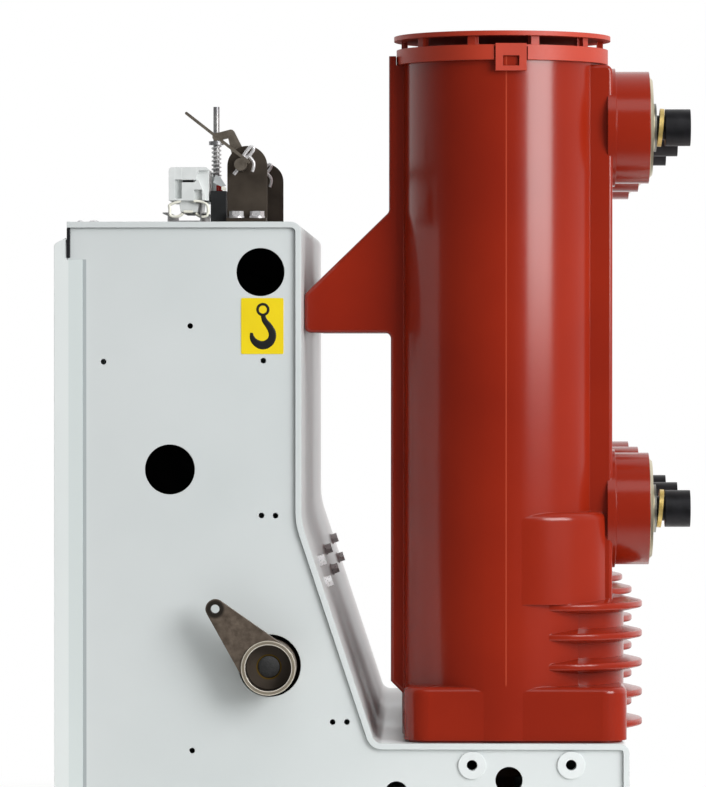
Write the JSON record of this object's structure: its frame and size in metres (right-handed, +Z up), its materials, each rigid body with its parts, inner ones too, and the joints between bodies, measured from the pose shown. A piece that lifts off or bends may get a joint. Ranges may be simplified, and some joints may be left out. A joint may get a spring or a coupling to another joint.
{
  "type": "vacuum circuit breaker",
  "caption": "Indoor fixed vacuum circuit breaker: grey spring-mechanism housing with a low shelf that carries red resin poles with rear contact faces.",
  "frame": {"origin": "centre of the base bolt pattern on the floor plane", "axes": "+X to the rear where the contacts are, +Y from the hand-lever side to the far side, +Z up"},
  "size_m": [0.5114, 0.62, 0.6883],
  "materials": {
    "grey_paint": "satin",
    "cover_paint": "satin",
    "red_epoxy": "gloss",
    "tinned_copper": "satin",
    "copper": "satin",
    "black_steel": "black oxide",
    "brass_steel": "yellow chromate zinc",
    "zinc_steel": "zinc plated",
    "shaft_steel": "satin",
    "cast_iron": "matte",
    "ceramic": "glazed",
    "insulation": "satin",
    "black_plastic": "matte",
    "grey_plastic": "matte",
    "red_plastic": "gloss",
    "green_plastic": "gloss",
    "yellow_plastic": "matte",
    "olive_steel": "olive chromate",
    "spring_steel": "oiled"
  },
  "bodies": {
    "breaker_frame": {"wrap_panel": "grey_paint", "side_plate_near": "grey_paint", "side_plate_far": "grey_paint", "base_plate": "grey_paint", "front_cover": "cover_paint", "slope_bolts": "zinc_steel", "mechanism_frame": "zinc_steel", "terminal_screws": "black_steel", "terminal_washers": "brass_steel", "rocker_axle": "zinc_steel", "bearing_hangers": "cast_iron", "opening_spring": "spring_steel", "closing_spring": "spring_steel", "gear_motor": "cast_iron", "release_coils": "black_plastic", "aux_switch": "black_plastic", "shaft_brackets": "olive_steel", "bracket_bolts": "zinc_steel", "plunger_spring": "spring_steel", "terminal_rail": "zinc_steel", "terminal_block": "grey_plastic", "signal_switch": "black_plastic", "pole_near": "red_epoxy", "cap_near": "red_epoxy", "interrupter_near": "ceramic", "upper_terminal_near": "tinned_copper", "lower_terminal_near": "tinned_copper", "pole_middle": "red_epoxy", "cap_middle": "red_epoxy", "interrupter_middle": "ceramic", "upper_terminal_middle": "tinned_copper", "lower_terminal_middle": "tinned_copper", "pole_far": "red_epoxy", "cap_far": "red_epoxy", "interrupter_far": "ceramic", "upper_terminal_far": "tinned_copper", "lower_terminal_far": "tinned_copper"},
    "main_shaft": {"main_shaft": "shaft_steel"},
    "charging_shaft": {"charging_shaft": "shaft_steel"},
    "trip_shaft": {"trip_shaft": "zinc_steel"},
    "close_shaft": {"close_shaft": "zinc_steel"},
    "close_button": {"close_button": "green_plastic"},
    "open_button": {"open_button": "red_plastic"},
    "position_indicator": {"position_indicator": "grey_plastic"},
    "spring_indicator": {"spring_indicator": "yellow_plastic"},
    "interlock_shaft": {"interlock_shaft": "zinc_steel"},
    "plunger_bar": {"plunger_bar": "zinc_steel"},
    "switch_button": {"switch_button": "red_plastic"},
    "moving_stem_near": {"moving_stem_near": "copper"},
    "push_rod_near": {"push_rod_near": "insulation"},
    "rocker_near": {"rocker_near": "zinc_steel"},
    "pull_rod_near": {"pull_rod_near": "zinc_steel"},
    "moving_stem_middle": {"moving_stem_middle": "copper"},
    "push_rod_middle": {"push_rod_middle": "insulation"},
    "rocker_middle": {"rocker_middle": "zinc_steel"},
    "pull_rod_middle": {"pull_rod_middle": "zinc_steel"},
    "moving_stem_far": {"moving_stem_far": "copper"},
    "push_rod_far": {"push_rod_far": "insulation"},
    "rocker_far": {"rocker_far": "zinc_steel"},
    "pull_rod_far": {"pull_rod_far": "zinc_steel"}
  },
  "joints": [
    {"name": "main_shaft_turn", "type": "hinge", "parent": "breaker_frame", "child": "main_shaft", "pos_m": [-0.062, 0, 0.182], "axis": [0, 1, 0], "range_deg": [0, 30.52], "stiffness_Nm_per_rad": 12, "springref_deg": -28.65, "deforming": ["opening_spring"]},
    {"name": "position_indicator_turn", "type": "hinge", "parent": "breaker_frame", "child": "position_indicator", "pos_m": [-0.205, 0.11, 0.215], "axis": [0, 1, 0], "range_deg": [0, 38]},
    {"name": "charging_shaft_turn", "type": "hinge", "parent": "breaker_frame", "child": "charging_shaft", "pos_m": [-0.116, 0, 0.246], "axis": [0, -1, 0], "range_deg": [0, 180], "deforming": ["closing_spring"]},
    {"name": "spring_indicator_turn", "type": "hinge", "parent": "breaker_frame", "child": "spring_indicator", "pos_m": [-0.205, -0.11, 0.33], "axis": [0, -1, 0], "range_deg": [0, 38]},
    {"name": "open_button_press", "type": "slide", "parent": "breaker_frame", "child": "open_button", "axis": [1, 0, 0], "range_m": [0, 0.008], "stiffness_N_per_m": 400, "springref_m": -0.006},
    {"name": "close_button_press", "type": "slide", "parent": "breaker_frame", "child": "close_button", "axis": [1, 0, 0], "range_m": [0, 0.008], "stiffness_N_per_m": 400, "springref_m": -0.006},
    {"name": "trip_shaft_turn", "type": "hinge", "parent": "breaker_frame", "child": "trip_shaft", "pos_m": [-0.185, 0, 0.15], "axis": [0, 1, 0], "range_deg": [0, 19]},
    {"name": "close_shaft_turn", "type": "hinge", "parent": "breaker_frame", "child": "close_shaft", "pos_m": [-0.185, 0, 0.262], "axis": [0, 1, 0], "range_deg": [0, 19]},
    {"name": "interlock_turn", "type": "hinge", "parent": "breaker_frame", "child": "interlock_shaft", "pos_m": [-0.0854, 0, 0.5822], "axis": [0, -1, 0], "range_deg": [0, 15], "stiffness_Nm_per_rad": 0.4, "springref_deg": -22.92},
    {"name": "plunger_slide", "type": "slide", "parent": "breaker_frame", "child": "plunger_bar", "axis": [0, 0, -1], "range_m": [0, 0.007], "deforming": ["plunger_spring"]},
    {"name": "switch_button_press", "type": "slide", "parent": "breaker_frame", "child": "switch_button", "axis": [0, 0, -1], "range_m": [0, 0.0015], "stiffness_N_per_m": 200, "springref_m": -0.002},
    {"name": "pull_rod_near_turn", "type": "hinge", "parent": "main_shaft", "child": "pull_rod_near", "pos_m": [-0.02534, -0.21, 0.192], "axis": [0, 1, 0], "range_deg": [-31, 0]},
    {"name": "rocker_near_turn", "type": "hinge", "parent": "breaker_frame", "child": "rocker_near", "pos_m": [0.062, -0.21, 0.06], "axis": [0, -1, 0], "range_deg": [0, 13.5]},
    {"name": "push_rod_near_slide", "type": "slide", "parent": "breaker_frame", "child": "push_rod_near", "axis": [0, 0, 1], "range_m": [0, 0.0146]},
    {"name": "moving_stem_near_slide", "type": "slide", "parent": "breaker_frame", "child": "moving_stem_near", "axis": [0, 0, 1], "range_m": [0, 0.0112]},
    {"name": "pull_rod_middle_turn", "type": "hinge", "parent": "main_shaft", "child": "pull_rod_middle", "pos_m": [-0.02534, 0, 0.192], "axis": [0, 1, 0], "range_deg": [-31, 0]},
    {"name": "rocker_middle_turn", "type": "hinge", "parent": "breaker_frame", "child": "rocker_middle", "pos_m": [0.062, 0, 0.06], "axis": [0, -1, 0], "range_deg": [0, 13.5]},
    {"name": "push_rod_middle_slide", "type": "slide", "parent": "breaker_frame", "child": "push_rod_middle", "axis": [0, 0, 1], "range_m": [0, 0.0146]},
    {"name": "moving_stem_middle_slide", "type": "slide", "parent": "breaker_frame", "child": "moving_stem_middle", "axis": [0, 0, 1], "range_m": [0, 0.0112]},
    {"name": "pull_rod_far_turn", "type": "hinge", "parent": "main_shaft", "child": "pull_rod_far", "pos_m": [-0.02534, 0.21, 0.192], "axis": [0, 1, 0], "range_deg": [-31, 0]},
    {"name": "rocker_far_turn", "type": "hinge", "parent": "breaker_frame", "child": "rocker_far", "pos_m": [0.062, 0.21, 0.06], "axis": [0, -1, 0], "range_deg": [0, 13.5]},
    {"name": "push_rod_far_slide", "type": "slide", "parent": "breaker_frame", "child": "push_rod_far", "axis": [0, 0, 1], "range_m": [0, 0.0146]},
    {"name": "moving_stem_far_slide", "type": "slide", "parent": "breaker_frame", "child": "moving_stem_far", "axis": [0, 0, 1], "range_m": [0, 0.0112]}
  ],
  "couplings": [
    {"joint": "position_indicator_turn", "follows": "main_shaft_turn", "ratio": 1.2},
    {"joint": "spring_indicator_turn", "follows": "charging_shaft_turn", "ratio": 0.2},
    {"joint": "trip_shaft_turn", "follows": "open_button_press", "rad_per_m": 40},
    {"joint": "close_shaft_turn", "follows": "close_button_press", "rad_per_m": 40},
    {"joint": "plunger_slide", "follows": "interlock_turn", "m_per_rad": 0.0248},
    {"joint": "pull_rod_near_turn", "follows": "main_shaft_turn", "ratio": -1},
    {"joint": "rocker_near_turn", "follows": "main_shaft_turn", "ratio": 0.43425},
    {"joint": "push_rod_near_slide", "follows": "main_shaft_turn", "m_per_rad": 0.02708},
    {"joint": "moving_stem_near_slide", "follows": "main_shaft_turn", "m_per_rad": 0.020654},
    {"joint": "pull_rod_middle_turn", "follows": "main_shaft_turn", "ratio": -1},
    {"joint": "rocker_middle_turn", "follows": "main_shaft_turn", "ratio": 0.43425},
    {"joint": "push_rod_middle_slide", "follows": "main_shaft_turn", "m_per_rad": 0.02708},
    {"joint": "moving_stem_middle_slide", "follows": "main_shaft_turn", "m_per_rad": 0.020654},
    {"joint": "pull_rod_far_turn", "follows": "main_shaft_turn", "ratio": -1},
    {"joint": "rocker_far_turn", "follows": "main_shaft_turn", "ratio": 0.43425},
    {"joint": "push_rod_far_slide", "follows": "main_shaft_turn", "m_per_rad": 0.02708},
    {"joint": "moving_stem_far_slide", "follows": "main_shaft_turn", "m_per_rad": 0.020654}
  ]
}
